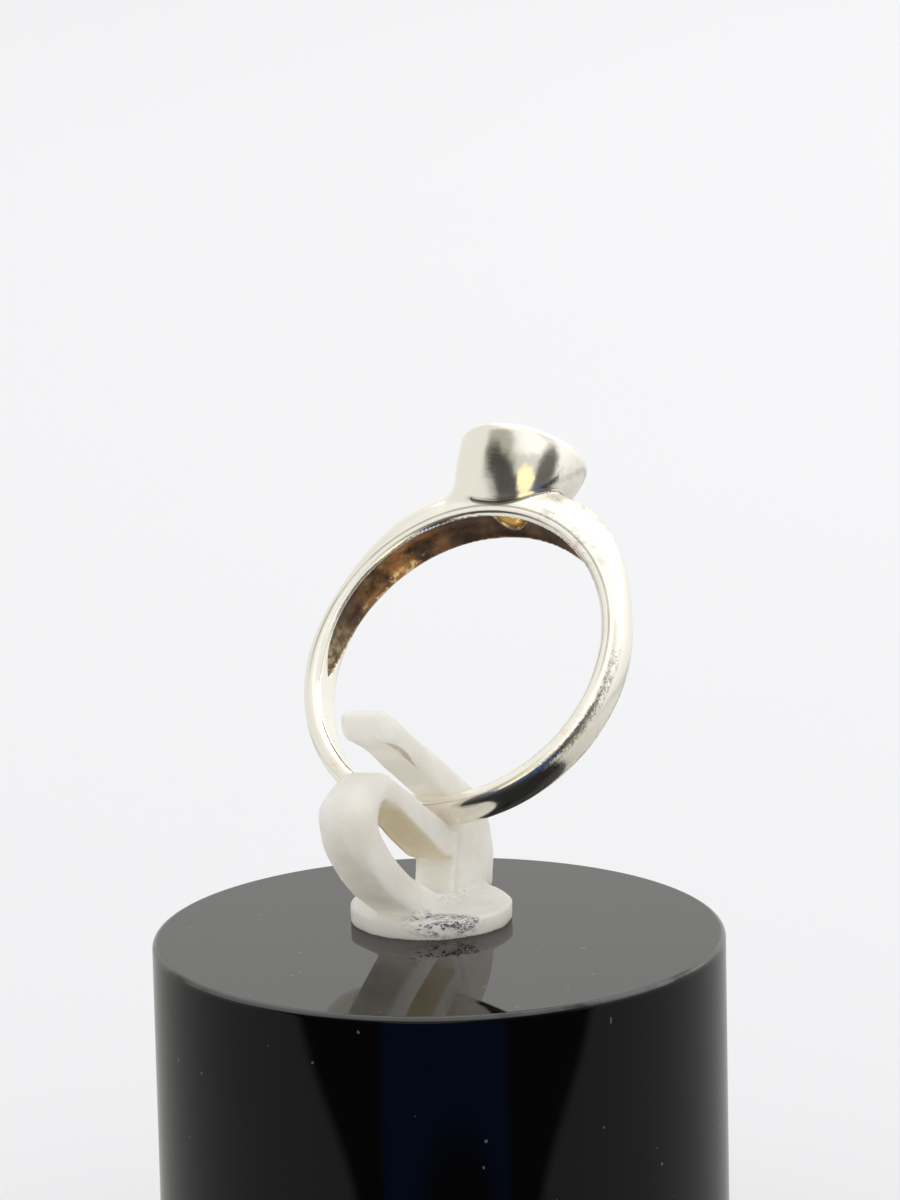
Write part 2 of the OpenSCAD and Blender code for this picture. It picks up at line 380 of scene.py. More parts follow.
def relax(points, quads):
    """Moves each point to the middle of its neighbours."""
    sums = np.zeros_like(points)
    counts = np.zeros(len(points))
    for side in range(4):
        a, b = quads[:, side], quads[:, (side + 1) % 4]
        for here, there in ((a, b), (b, a)):
            counts += np.bincount(here, minlength=len(points))
            for axis in range(3):
                sums[:, axis] += np.bincount(here, points[there, axis], len(points))
    return sums / counts[:, None]


def cast(field, low, high, cell):
    """Even mesh of a field's surface, as points and quads."""
    points, quads = skin(field, low, high, cell)
    points = settle(points, field, cell)
    for _ in range(PASSES):
        points = settle(relax(points, quads), field, cell)
    return points, quads


def shank_half_w(angle):
    return (BACK_W + (SHOULDER_W - BACK_W) * ((1 + np.cos(np.radians(angle))) / 2) ** 3) / 2


def shank_t(angle):
    return (BACK_T + (SIDE_T - BACK_T) * (1 - ease(*SIDE_ANGLES, angle))
            + (SHOULDER_T - SIDE_T) * (1 - ease(*SHOULDER_ANGLES, angle)))


def shank_place(points):
    """Angle from the cup, place across the shank and height above the finger hole."""
    x, y, z = points.T
    return np.abs(np.degrees(np.arctan2(x, z))), y, np.hypot(x, z) - FINGER_R


def hollow_field(points):
    """A scoop inside the shank, no deeper than half the shank's thickness there."""
    angle, across, height = shank_place(points)
    least = 0.02
    fade = 1 - np.minimum(1, angle / HOLLOW_REACH) ** HOLLOW_TAPER
    half = np.maximum(least, (shank_half_w(angle) - HOLLOW_RIM) * fade)
    depth = np.maximum(least, np.minimum(HOLLOW_DEPTH, shank_t(angle) / 2) * np.sqrt(fade))
    scoop = oval(across, np.maximum(height, 0), half, depth)
    return np.where(fade > 0.03, scoop, 1)


def shank_field(points):
    """A dome on straight walls, with a bevel along both inner edges."""
    angle, across, height = shank_place(points)
    half = shank_half_w(angle)
    dome = oval(across, np.maximum(height - WALL_H, 0), half, shank_t(angle) - WALL_H)
    bevel = (np.abs(across) - half) / BEVEL_W - height / BEVEL_H + 1
    bevel = bevel / math.hypot(1 / BEVEL_W, 1 / BEVEL_H)
    return smooth_max(smooth_max(dome, -height, SHANK_ROUND), bevel, SHANK_ROUND)


def cup_field(points):
    """Outside of the cup: upright at its left, and swelling out over the shoulder at its right."""
    x, y, z = points.T
    share = np.clip((z - FOOT_Z) / (RIM_HEIGHT - FOOT_Z), 0, 1)
    half_w = (FOOT_W + (RIM_D - FOOT_W) * share * (1 + WALL_BOW * (1 - share))) / 2
    left = RIM_D / 2 + CUP_SHIFT - LEFT_BULGE * (1 - ease(*LEFT_SWELL, z))
    right = FOOT_RIGHT + (RIM_D / 2 - CUP_SHIFT - FOOT_RIGHT) * share * (1 + RIGHT_BOW * (1 - share))
    wall = oval(x, y, np.where(x < 0, left, right), half_w)
    return smooth_max(smooth_max(wall, z - RIM_HEIGHT, RIM_ROUND), FOOT_Z - z, FOOT_ROUND)


def cup_space_field(points):
    """The gallery hole, the cone under the stone, its seat and the rim pushed in over it."""
    x, y, z = points.T
    seat_low, seat_high = GIRDLE_Z - GIRDLE_T, GIRDLE_Z + GIRDLE_T
    heights = [GALLERY_TOP, seat_low - LEDGE_H, seat_low, seat_high, RIM_HEIGHT]
    radii = [GALLERY_R, SEAT_R - LEDGE_W, SEAT_R, SEAT_R, SEAT_R - LIP_W]
    # A slanted wall is nearer than its distance straight across
    slant = 0.8
    space = (np.hypot(x, y) - np.interp(z, heights, radii)) * slant
    return np.where(z > 0, space, 1)


def ring_field(points):
    """The cup joins its left shoulder with a wide fillet of solder, and the right one with a fine seam."""
    fillet = SEAM_FILLET + (SOLDER_FILLET - SEAM_FILLET) * ease(*SOLDER_X, points[:, 0])
    outside = smooth_min(shank_field(points), cup_field(points), fillet)
    outside = outside + wobble(points, *RING_WOBBLE)
    scooped = smooth_max(outside, -hollow_field(points), HOLLOW_ROUND)
    return smooth_max(scooped, -cup_space_field(points), GALLERY_ROUND)


def curved(corners, steps=6):
    """Outline through a table of corners, each rounded from its own distance."""
    outline = []
    points = [np.array(row[:2]) for row in corners]
    for i, (corner, row) in enumerate(zip(points, corners)):
        before, after = points[i - 1] - corner, points[(i + 1) % len(points)] - corner
        start = corner + before * row[2] / np.linalg.norm(before)
        end = corner + after * row[2] / np.linalg.norm(after)
        shares = np.linspace(0, 1, steps + 1) if row[2] else [0]
        outline += [start * (1 - t) ** 2 + corner * 2 * t * (1 - t) + end * t * t for t in shares]
    return np.array(outline)


def outline_field(places, outline):
    """Distance in the plane from a closed outline, negative inside."""
    x, y = places.T
    nearest = np.full(len(places), np.inf)
    inside = np.zeros(len(places), bool)
    for start, end in zip(outline, np.roll(outline, -1, 0)):
        edge = end - start
        offset = places - start
        share = np.clip(offset @ edge / (edge @ edge), 0, 1)
        nearest = np.minimum(nearest, ((offset - share[:, None] * edge) ** 2).sum(1))
        if edge[1]:
            inside ^= ((start[1] > y) != (end[1] > y)) & (x < start[0] + (y - start[1]) * edge[0] / edge[1])
    return np.where(inside, -1, 1) * np.sqrt(nearest)


class Profile:
    """A field in the plane, worked out once on a fine grid and then read between its points."""

    def __init__(self, low, high, step, field):
        self.low, self.step = np.array(low), step
        counts = ((np.array(high) - low) / step).astype(int) + 1
        self.last = counts - 2
        places = np.stack(np.meshgrid(*(np.arange(n) for n in counts), indexing="ij"), -1).reshape(-1, 2)
        self.values = field(self.low + places * step).reshape(counts)

    def at(self, places):
        spot = (places - self.low) / self.step
        cell = np.clip(spot.astype(int), 0, self.last)
        (u, v), (i, j) = (spot - cell).T, cell.T
        near = self.values[i, j] * (1 - u) + self.values[i + 1, j] * u
        far = self.values[i, j + 1] * (1 - u) + self.values[i + 1, j + 1] * u
        return near * (1 - v) + far * v


def clip_profiles():
    """The clip's front arm, the window in it and its back arm, seen from the side."""
    low, high, step = (-10.6, -1), (7.4, 13.9), 0.04
    return [
        Profile(low, high, step, lambda p, outline=curved(corners): outline_field(p, outline))
        for corners in (FRONT_ARM, WINDOW, BACK_ARM)
    ]


def clip_field(points, profiles, tilt):
    """The clip, with x along its width, y away from the front and z up, before its tilt."""
    side, profile = points[:, 0], points[:, 1:]
    x, y, z = tilt @ points.T
    walls = np.abs(side) - CLIP_W / 2
    layer = np.abs(z - CLIP_FOOT_T / 2) - CLIP_FOOT_T / 2
    foot = smooth_max(np.hypot(x, y) - CLIP_FOOT_R, layer, CLIP_FOOT_ROUND)
    worn = math.prod(ease(*ramp, along) for ramp, along in zip(WORN_RAMPS, points.T))
    front, window, back = (outline.at(profile) for outline in profiles)
    front = smooth_max(smooth_max(front, walls, ARM_ROUND + WORN_ROUND * worn), -window, WINDOW_ROUND)
    back = smooth_max(back, walls, ARM_ROUND)
    arms = np.minimum(smooth_min(front, foot, CLIP_FILLET), smooth_min(back, foot, CLIP_FILLET))
    return np.maximum(arms + wobble(points, *CLIP_WOBBLE), 0.02 - z)


def sector():
    """Points and faces of one sector of a round brilliant, with its girdle at height 0."""
    table_r, star_r, low_r = 0.56 * STONE_R, 0.78 * STONE_R, 0.25 * STONE_R
    half_step = math.pi / SECTORS
    crown_h, pavilion_h = 0.3 * STONE_R, 0.86 * STONE_R
    star_z = crown_h * (STONE_R - star_r * math.cos(half_step)) / (STONE_R - table_r)
    low_z = pavilion_h * (STONE_R - low_r * math.cos(half_step)) / STONE_R

    def at(radius, height, turn):
        return radius * math.cos(turn * half_step), radius * math.sin(turn * half_step), height

    points = [
        at(0, GIRDLE_T + crown_h, 0), at(table_r, GIRDLE_T + crown_h, 0), at(table_r, GIRDLE_T + crown_h, 2),
        at(star_r, GIRDLE_T + star_z, -1), at(star_r, GIRDLE_T + star_z, 1),
        at(STONE_R, GIRDLE_T, 0), at(STONE_R, GIRDLE_T, 1), at(STONE_R, GIRDLE_T, 2),
        at(STONE_R, 0, 0), at(STONE_R, 0, 1), at(STONE_R, 0, 2),
        at(low_r, -low_z, -1), at(low_r, -low_z, 1), at(0, -pavilion_h, 0),
    ]
    faces = [
        (0, 1, 2), (2, 1, 4), (1, 3, 5, 4), (4, 5, 6), (4, 6, 7), (5, 8, 9, 6), (6, 9, 10, 7),
        (9, 8, 12), (10, 9, 12), (8, 11, 13, 12),
    ]
    return points, faces


class Socket:
    """An output of a node. Arithmetic on it adds Math nodes to its tree."""

    def __init__(self, nodes, output):
        self.nodes = nodes
        self.output = output

    def math(self, operation, *values):
        return self.nodes.add("ShaderNodeMath", dict(enumerate(values)), operation=operation)

    def __add__(self, other):
        return self.math("ADD", self, other)

    def __radd__(self, other):
        return self.math("ADD", other, self)

    def __sub__(self, other):
        return self.math("SUBTRACT", self, other)

    def __rsub__(self, other):
        return self.math("SUBTRACT", other, self)

    def __mul__(self, other):
        return self.math("MULTIPLY", self, other)

    def __rmul__(self, other):
        return self.math("MULTIPLY", other, self)

    def __truediv__(self, other):
        return self.math("DIVIDE", self, other)

    def __pow__(self, other):
        return self.math("POWER", self, other)

    def __abs__(self):
        return self.math("ABSOLUTE", self)

    def larger(self, other):
        return self.math("MAXIMUM", self, other)


class Nodes:
    """Adds nodes to one tree."""

    def __init__(self, tree):
        self.tree = tree

    def add(self, kind, inputs=(), output=0, **settings):
        """A new node's output. Its settings are made first, then each input's value or link."""
        node = self.tree.nodes.new(kind)
        for name, value in settings.items():
            setattr(node, name, value)
        self.fill(node, inputs)
        return Socket(self, node.outputs[output]) if node.outputs else None

    def fill(self, node, inputs):
        for key, value in dict(inputs).items():
            if isinstance(value, Socket):
                self.tree.links.new(value.output, node.inputs[key])
            else:
                node.inputs[key].default_value = value

    def step(self, low, high, value):
        """0 below low, 1 above high and a smooth change between."""
        inputs = {"Value": value, "From Min": low, "From Max": high}
        return self.add("ShaderNodeMapRange", inputs, interpolation_type="SMOOTHSTEP")

    def mix(self, share, first, second):
        """Colour between two colours."""
        return self.add("ShaderNodeMix", {0: share, 6: first, 7: second}, output=2, data_type="RGBA")

    def span(self, value, start, end):
        """1 from the ramp where it starts to the ramp where it ends, and 0 outside them."""
        return self.step(*start, value) * (1 - self.step(*end, value))

    def noise(self, place, scale, detail=3, roughness=0.5, distortion=0):
        inputs = {"Vector": place, "Scale": scale, "Detail": detail, "Roughness": roughness}
        return self.add("ShaderNodeTexNoise", {**inputs, "Distortion": distortion})

    def stretch(self, place, turn, scale):
        inputs = {"Vector": place, "Rotation": turn, "Scale": scale}
        return self.add("ShaderNodeMapping", inputs)

    def bump(self, height, distance):
        inputs = {"Height": height, "Distance": distance, "Strength": 1}
        return self.add("ShaderNodeBump", inputs, output="Normal")

    def mark(self, name):
        """A value that add_piece() kept on the mesh's points."""
        return self.add("ShaderNodeAttribute", output="Fac", attribute_name=name)

    def inside(self, place, centre, turn, halves):
        """1 inside an ellipsoid with a soft edge, and the place measured from its centre."""
        inputs = {"Vector": place, "Location": centre, "Rotation": turn, "Scale": halves}
        local = self.add("ShaderNodeMapping", inputs, vector_type="TEXTURE")
        length = self.add("ShaderNodeVectorMath", {0: local}, output="Value", operation="LENGTH")
        return 1 - self.step(0.65, 1.35, length), local

    def line(self, value, at, half):
        """1 on a thin line where a value passes through a level."""
        return 1 - self.step(half * 0.5, half, abs(value - at))


def new_finish(name, inputs):
    """A material, its nodes, its shader and the object coordinates."""
    material = bpy.data.materials.new(name)
    material.use_nodes = True
    nodes = Nodes(material.node_tree)
    shader = material.node_tree.nodes["Principled BSDF"]
    nodes.fill(shader, inputs)
    place = nodes.add("ShaderNodeTexCoord", output="Object")
    return material, nodes, shader, place


def tarnish_colour(nodes, reach, flank, blotches, specks):
    """Umber and brown by the cup, copper further down and olive at the tip, with gold glints painted on the
    far edge.
    """
    copper = nodes.span(reach, *COPPER_BAND) * nodes.step(0.35, 0.6, blotches)
    colour = nodes.mix(nodes.step(0.35, 0.7, blotches), UMBER, BROWN)
    colour = nodes.mix(copper, colour, COPPER)
    olive = nodes.mix(nodes.step(0.35, 0.65, specks), DARK_OLIVE, OLIVE)
    colour = nodes.mix(nodes.step(*OLIVE_TIP, reach + blotches * 0.3 - 0.15), colour, olive)
    # Painted highlight: gold glints on the hollow's far edge
    edge = nodes.step(*GLINT_FLANK, flank) * nodes.span(reach, *GLINT_EDGE)
    return nodes.mix((edge + copper * 0.3) * nodes.step(0.5, 0.62, specks), colour, TARNISH_AND_GLINT_GOLD)


def painted_crease_lines(nodes, rise, flank, reach, joint, blotches):
    """1 on painted shade: dark lines painted above the wall, on the bevel's edge and in the crease round the
    cup's joint.
    """
    crease_shade = (nodes.line(rise, WALL_H, 0.09) * 0.6).larger(nodes.line(rise, BEVEL_H, 0.05) * 0.4)
    crease_shade = crease_shade * nodes.step(0.86, 0.95, flank) * nodes.step(0.3, 0.6, blotches + 0.1)
    crease_shade = crease_shade * (1 - nodes.step(0.85, 1.1, reach))
    return crease_shade.larger(1 - nodes.step(0.05, 0.16, joint))


def scratches(nodes, place):
    """Fine straight scratches in three directions."""
    turns = ((0.3, 0.5, 0.2), (1.1, -0.4, 0.9), (-0.7, 0.2, 1.9))
    return sum(
        nodes.step(0.62, 0.7, nodes.noise(nodes.stretch(place, turn, (1, 14, 14)), 500, 2, 0.5))
        for turn in turns
    )


def silver_finish():
    """Polished silver with scratches and wear, brown and golden where the hollow has tarnished, with painted
    shade in its creases and along its edges, painted glints on the hollow's far edge, a painted dark
    reflection on the right of the shank and a painted glow in the gallery.
    """
    material, nodes, shader, place = new_finish("silver", {"Emission Strength": 1})
    hollow, gallery, reach, rise, flank, joint = (nodes.mark(name) for name in RING_MARKS)
    blotches = nodes.noise(place, 420, 5, 0.6)
    specks = nodes.noise(place, 2600, 3, 0.6)
    grain = nodes.noise(place, 8000, 2, 0.6)
    flecks = nodes.noise(place, 1800, 4, 0.7)
    marks = scratches(nodes, place)
    tarnish = hollow * nodes.step(0.1, 0.3, hollow + blotches * 0.4 - 0.2)
    crease_shade = painted_crease_lines(nodes, rise, flank, reach, joint, blotches)

    worn = nodes.step(0.35, 0.6, nodes.noise(place, 130, 2)) * (0.5 + nodes.step(0.6, 0.9, reach))
    right = nodes.step(*RIGHT_SIDE, nodes.add("ShaderNodeSeparateXYZ", {0: place}))
    scuffed = right * nodes.span(reach, *SCUFFED)
    pitted = right * nodes.span(reach, *PITTED) * nodes.span(flank, *PITTED_FLANK)
    # Pits painted grey, partly a painted dark reflection on the lower right of the shank
    pits_and_dark_reflection = pitted * nodes.step(0.44, 0.6, grain * 0.6 + specks * 0.4)
    rubs = scuffed * nodes.step(0.5, 0.62, blotches * 0.5 + specks * 0.5)
    glints = nodes.step(0.5, 0.62, flecks) * worn * nodes.step(0.9, 1.2, reach)

    metal = nodes.mix(tarnish, SILVER, tarnish_colour(nodes, reach, flank, blotches, specks))
    metal = nodes.mix((pits_and_dark_reflection * 0.7).larger(rubs * 0.35), metal, WEAR_AND_REFLECTION_GREY)
    metal = nodes.mix(glints * 0.35, metal, PALE_GOLD)
    # Painted shade: dark lines along the shank's edges and in the crease at the cup
    metal = nodes.mix(crease_shade * 0.75, metal, CREASE_SHADE_BLACK)
    # Painted light: the gallery is painted gold, as if lit through the stone
    metal = nodes.mix(gallery, metal, GALLERY_PAINTED_GOLD)
    relief = marks * (0.02 + scuffed * 0.1) + (blotches + specks) * tarnish - crease_shade * 0.3
    relief = relief + (blotches + grain) * (worn * 0.09 + pitted * 0.3)
    nodes.fill(shader, {
        "Base Color": metal,
        "Metallic": 1 - tarnish * 0.5,
        "Roughness": 0.12 + marks * 0.03 + tarnish * 0.2 + worn * 0.04,
        # Painted glow in the gallery, as if lit through the stone
        "Emission Color": nodes.mix(gallery, NO_GLOW, GALLERY_PAINTED_GLOW),
        "Normal": nodes.bump(relief, 0.04 * MM),
    })
    return material


def stone_finish():
    """Clear cubic zirconia."""
    settings = {"Transmission Weight": 1, "Roughness": 0, "IOR": 2.16, "Base Color": (0.99, 0.99, 1, 1)}
    return new_finish("cubic_zirconia", settings)[0]


def clip_finish():
    """Frosted, milky plastic with traces of dried glue on its tongue, in its window and on its foot, with
    glints and reflections painted on the glue, and a faint painted glow.
    """
    # The clip glows a little in its own colour: painted light standing in for light scattered through the
    # frosted plastic.
    settings = {
        "Transmission Weight": 0.35, "IOR": 1.35, "Subsurface Weight": 0.9, "Subsurface Scale": 0.003,
        "Subsurface Radius": (1, 0.95, 0.85), "Emission Strength": 0.09,
    }
    material, nodes, shader, place = new_finish("frosted_plastic", settings)
    clouds = nodes.noise(place, 260, 4, 0.55)
    grain = nodes.noise(place, 5200, 2)
    broken = nodes.noise(place, 1500, 3, 0.7)

    def inside(blot):
        centre = above_pedestal(CLIP_CENTRE + Vector(blot.centre)).translation * MM
        return nodes.inside(place, centre, (0, 0, blot.turn), Vector(blot.halves) * MM)

    crackle, crackle_place = inside(CRACKLE)
    streaks, streak_place = inside(STREAKS)
    crumbs = nodes.noise(crackle_place, 4, 4, 0.75, 1.5)
    crackle = crackle * nodes.step(0.4, 0.5, nodes.noise(crackle_place, 1.6, 3, 0.6))
    threads = nodes.noise(nodes.stretch(streak_place, (0, 0, 0), (0.25, 3, 3)), 1.4, 2, 0.5, 0.6)
    streaks = streaks * nodes.step(0.56, 0.62, threads)
    trace = nodes.line(nodes.mark("glue") + broken * 0.16, 0.08, 0.1) * nodes.step(0.25, 0.42, broken)
    window = nodes.mark("window")
    brim = window * nodes.line(nodes.mark("side") + broken * 0.2, -0.95, 0.1)
    plastic = nodes.mix(nodes.step(0.35, 0.65, clouds), CLOUDY, MILKY)
    plastic = nodes.mix(window * (0.4 + nodes.step(0.3, 0.55, clouds) * 0.5), plastic, WINDOW_BEIGE)
    plastic = nodes.mix(trace.larger(brim) * 0.6, plastic, GLUE_BROWN)
    # Painted highlight: white where the glassy glue streaks shine
    plastic = nodes.mix(streaks * 0.6, plastic, GLUE_HIGHLIGHT_WHITE)
    # Painted glints and dark reflections on the crackled glue
    crackle_glints = nodes.mix(nodes.step(0.46, 0.54, crumbs), CRACK_DARK_REFLECTION, CRACK_GLINT)
    plastic = nodes.mix(crackle, plastic, crackle_glints)
    nodes.fill(shader, {
        "Base Color": plastic,
        # Painted glow, in the plastic's own colour
        "Emission Color": plastic,
        "Roughness": 0.5 + clouds * 0.15 - streaks * 0.35 - crackle * 0.25,
        "Normal": nodes.bump(grain + clouds * 0.6 + streaks * 2 + crumbs * crackle * 3 + trace, 0.03 * MM),
    })
    return material


def pedestal_finish():
    """Polished black acrylic with a little dust, and a lighter grey in patches on its rounded edges."""
    material, nodes, shader, place = new_finish("black_acrylic", {"IOR": 1.3})
    smears = nodes.noise(nodes.stretch(place, (0, 0, 0.5), (1, 3, 1)), 90, 4, 0.6)
    dust = nodes.step(0.79, 0.8, nodes.noise(place, 1900, 1))
    edge = nodes.mark("edge") * nodes.step(0.3, 0.5, smears)
    nodes.fill(shader, {
        "Base Color": nodes.mix(dust.larger(edge), ACRYLIC, DUST_AND_EDGE_GREY),
        "Roughness": 0.02 + nodes.step(0.5, 0.8, smears) * 0.05,
    })
    return material


def paper_finish():
    material, nodes, shader, place = new_finish("paper", {"Roughness": 0.9, "Specular IOR Level": 0.1})
    nodes.fill(shader, {"Base Color": nodes.mix(nodes.noise(place, 3), *PAPER)})
    return material


def add_piece(name, points, faces, matrix, material, smooth=True, marks=()):
    """A piece of the object: its mesh in the frame, its finish and its named values on points."""
    mesh = bpy.data.meshes.new(name)
    mesh.from_pydata([tuple(p) for p in points], [], [tuple(int(i) for i in f) for f in faces])
    for mark, values in dict(marks).items():
        mesh.attributes.new(mark, "FLOAT", "POINT").data.foreach_set("value", np.array(values, np.float32))
    mesh.transform(Matrix.Scale(MM, 4) @ matrix)
    mesh.polygons.foreach_set("use_smooth", [smooth] * len(mesh.polygons))
    mesh.materials.append(material)
    mesh.update()
    piece = bpy.data.objects.new(name, mesh)
    bpy.context.scene.collection.objects.link(piece)
    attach(piece, "root")
    return piece


def above_pedestal(offset):
    return Matrix.Translation(Vector(offset) + Vector((0, 0, PEDESTAL_H)))


def ring_matrix():
    """From the finger hole's centre, with the cup straight up, to where the clip holds the ring."""
    centre = RING_SEAT + FINGER_R * Vector((0, math.sin(RING_LEAN), math.cos(RING_LEAN)))
    lean, swing = Matrix.Rotation(-RING_LEAN, 4, "X"), Matrix.Rotation(-RING_SWING, 4, "Y")
    return above_pedestal(centre) @ lean @ swing


def on_surface(values):
    """1 where a field is zero, and 0 a little away from its surface."""
    return 1 - ease(0.02, 0.1, np.abs(values))


def make_ring():
    outer = FINGER_R + SHOULDER_T + 0.4
    reach = RIM_D / 2 + 0.3
    points, quads = cast(ring_field, (-outer, -reach, -outer), (outer, reach, RIM_HEIGHT + 0.3), RING_CELL)
    angle, across, height = shank_place(points)
    in_hollow = on_surface(hollow_field(points)) * (height > 0.02)
    in_gallery = on_surface(cup_space_field(points)) * (points[:, 2] < GIRDLE_Z)
    flank = np.abs(across) / shank_half_w(angle)
    joint = np.abs(shank_field(points) - cup_field(points)) + ease(-1.6, -2.6, points[:, 0])
    values = (in_hollow * (1 - in_gallery), in_gallery, angle / HOLLOW_REACH, height, flank, joint)
    marks = dict(zip(RING_MARKS, values))
    ring = add_piece("silver_ring", points, quads, ring_matrix(), silver_finish(), marks=marks)
    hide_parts("ring")


def make_stone():
    """One sector, repeated round the stone's axis by Geometry Nodes and then set in the cup."""
    points, faces = sector()
    seat = ring_matrix() @ Matrix.Translation((0, 0, GIRDLE_Z))
    finish = stone_finish()
    stone = add_piece("brilliant", points, faces, Matrix.Identity(4), finish, smooth=False)
    tree = bpy.data.node_groups.new("brilliant_sectors", "GeometryNodeTree")
    tree.interface.new_socket("Geometry", in_out="INPUT", socket_type="NodeSocketGeometry")
    folds = tree.interface.new_socket("Sectors", in_out="INPUT", socket_type="NodeSocketInt")
    folds.default_value = SECTORS
    tree.interface.new_socket("Geometry", in_out="OUTPUT", socket_type="NodeSocketGeometry")
    nodes = Nodes(tree)
    given = nodes.add("NodeGroupInput")
    count = Socket(nodes, given.output.node.outputs["Sectors"])
    centres = nodes.add("GeometryNodeMeshLine", {"Count": count, "Offset": (0, 0, 0)})
    angle = nodes.add("GeometryNodeInputIndex") * (2 * math.pi) / count
    turn = nodes.add("ShaderNodeCombineXYZ", {"Z": angle})
    around = {"Points": centres, "Instance": given, "Rotation": turn}
    copies = nodes.add("GeometryNodeInstanceOnPoints", around)
    whole = nodes.add("GeometryNodeRealizeInstances", {"Geometry": copies})
    joined = nodes.add("GeometryNodeMergeByDistance", {"Geometry": whole, "Distance": 0.002 * MM})
    finished = nodes.add("GeometryNodeSetMaterial", {"Geometry": joined, "Material": finish})
    nodes.add("NodeGroupOutput", {"Geometry": finished})
    modifier = stone.modifiers.new("sectors", "NODES")
    modifier.node_group = tree
    modifier[folds.identifier] = folds.default_value
    evaluated = stone.evaluated_get(bpy.context.evaluated_depsgraph_get())
    mesh = bpy.data.meshes.new_from_object(evaluated)
    stone.modifiers.clear()
    mesh.transform(Matrix.Scale(MM, 4) @ seat @ Matrix.Scale(1 / MM, 4))
    stone.data = mesh
    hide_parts("stone")


def make_clip():
    tilt = Matrix.Rotation(CLIP_TURN, 4, "Z") @ Matrix.Rotation(-CLIP_LEAN, 4, "Y")
    profiles, upright = clip_profiles(), np.array(tilt.to_3x3())
    reach = CLIP_FOOT_R + 0.6
    points, quads = cast(
        lambda p: clip_field(p, profiles, upright), (-reach, *CLIP_LOW), (reach, *CLIP_HIGH), CLIP_CELL)
    side, profile = points[:, 0], points[:, 1:]
    window = outline_field(profile, curved(WINDOW))
    marks = {
        "glue": np.where(side > 0.8, outline_field(profile, curved(GLUE)), 1),
        "window": (1 - ease(0.05, 0.2, np.abs(window))) * ease(2.5, 3.5, profile[:, 1]),
        "side": side,
    }
    matrix = above_pedestal(CLIP_CENTRE) @ tilt
    clip = add_piece("frosted_clip", points, quads, matrix, clip_finish(), marks=marks)
    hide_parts("ring_clip")


def make_pedestal():
    """Turned from its outline, with a rounded edge at the top and the bottom."""
    sides, edge = PEDESTAL_SIDES, PEDESTAL_EDGE
    arc = [math.radians(a) for a in range(0, 91, 15)]
    low = [(PEDESTAL_R - edge * (1 - math.sin(a)), edge * (1 - math.cos(a))) for a in arc]
    outline = [(PEDESTAL_R - edge - PEDESTAL_HOLD, 0), *low, (PEDESTAL_R, edge + PEDESTAL_HOLD)]
    outline += [(r, PEDESTAL_H - z) for r, z in reversed(outline)]
    turns = [2 * math.pi * i / sides for i in range(sides)]
    points = [(r * math.cos(t), r * math.sin(t), z) for r, z in outline for t in turns]
    points += [(0, 0, 0), (0, 0, PEDESTAL_H)]
    faces = [
        (i * sides + j, i * sides + (j + 1) % sides, (i + 1) * sides + (j + 1) % sides, (i + 1) * sides + j)
        for i in range(len(outline) - 1) for j in range(sides)
    ]
    top = (len(outline) - 1) * sides
    faces += [((j + 1) % sides, j, len(points) - 2) for j in range(sides)]
    faces += [(top + j, top + (j + 1) % sides, len(points) - 1) for j in range(sides)]
    inner, outer = PEDESTAL_R - 0.9 * edge, PEDESTAL_R - 0.1 * edge
    marks = {"edge": [float(inner < r < outer) for r, z in outline for t in turns] + [0, 0]}
    still, finish = Matrix.Identity(4), pedestal_finish()
    pedestal = add_piece("acrylic_pedestal", points, faces, still, finish, marks=marks)
    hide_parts("pedestal")


def make_floor():
    """Plain pale paper. Polished pieces mirror the room instead of it."""
    mesh = bpy.data.meshes.new("floor")
    corners = [(x * FLOOR_HALF, y * FLOOR_HALF, 0) for x, y in ((-1, -1), (1, -1), (1, 1), (-1, 1))]
    mesh.from_pydata(corners, [], [(0, 1, 2, 3)])
    mesh.materials.append(paper_finish())
    floor = bpy.data.objects.new("floor", mesh)
    bpy.context.scene.collection.objects.link(floor)
    floor.visible_glossy = False


def make_camera():
    camera = bpy.data.objects.new("camera", bpy.data.cameras.new("camera"))
    bpy.context.scene.collection.objects.link(camera)
    camera.data.lens = LENS
    camera.data.sensor_width = SENSOR
    camera.data.clip_start = 0.01
    turn = Matrix.Rotation(VIEW_AZIMUTH, 4, "Z") @ Matrix.Rotation(math.pi / 2 - VIEW_PITCH, 4, "X")
    turn = turn @ Matrix.Rotation(VIEW_ROLL, 4, "Z")
    pixel = SENSOR / LENS / PHOTO[1]
    ray = Vector(((AIM_PIXEL[0] - PHOTO[0] / 2) * pixel, (PHOTO[1] / 2 - AIM_PIXEL[1]) * pixel, -1))
    aim = Vector((0, 0, PEDESTAL_H * MM))
    camera.matrix_world = Matrix.Translation(aim - VIEW_DISTANCE * (turn @ ray.normalized())) @ turn
    bpy.context.scene.camera = camera


def softbox(name, azimuth, elevation, power):
    """A square light that looks at the ring."""
    light = bpy.data.lights.new(name, "AREA")
    light.size = SOFTBOX_SIZE
    light.energy = power
    lamp = bpy.data.objects.new(name, light)
    a, e = VIEW_AZIMUTH + math.radians(azimuth), math.radians(elevation)
    back = Vector((math.sin(a) * math.cos(e), -math.cos(a) * math.cos(e), math.sin(e)))
    turn = back.to_track_quat("Z", "Y").to_matrix().to_4x4()
    lamp.matrix_world = Matrix.Translation(SOFTBOX_AIM + back * SOFTBOX_AWAY) @ turn
    bpy.context.scene.collection.objects.link(lamp)


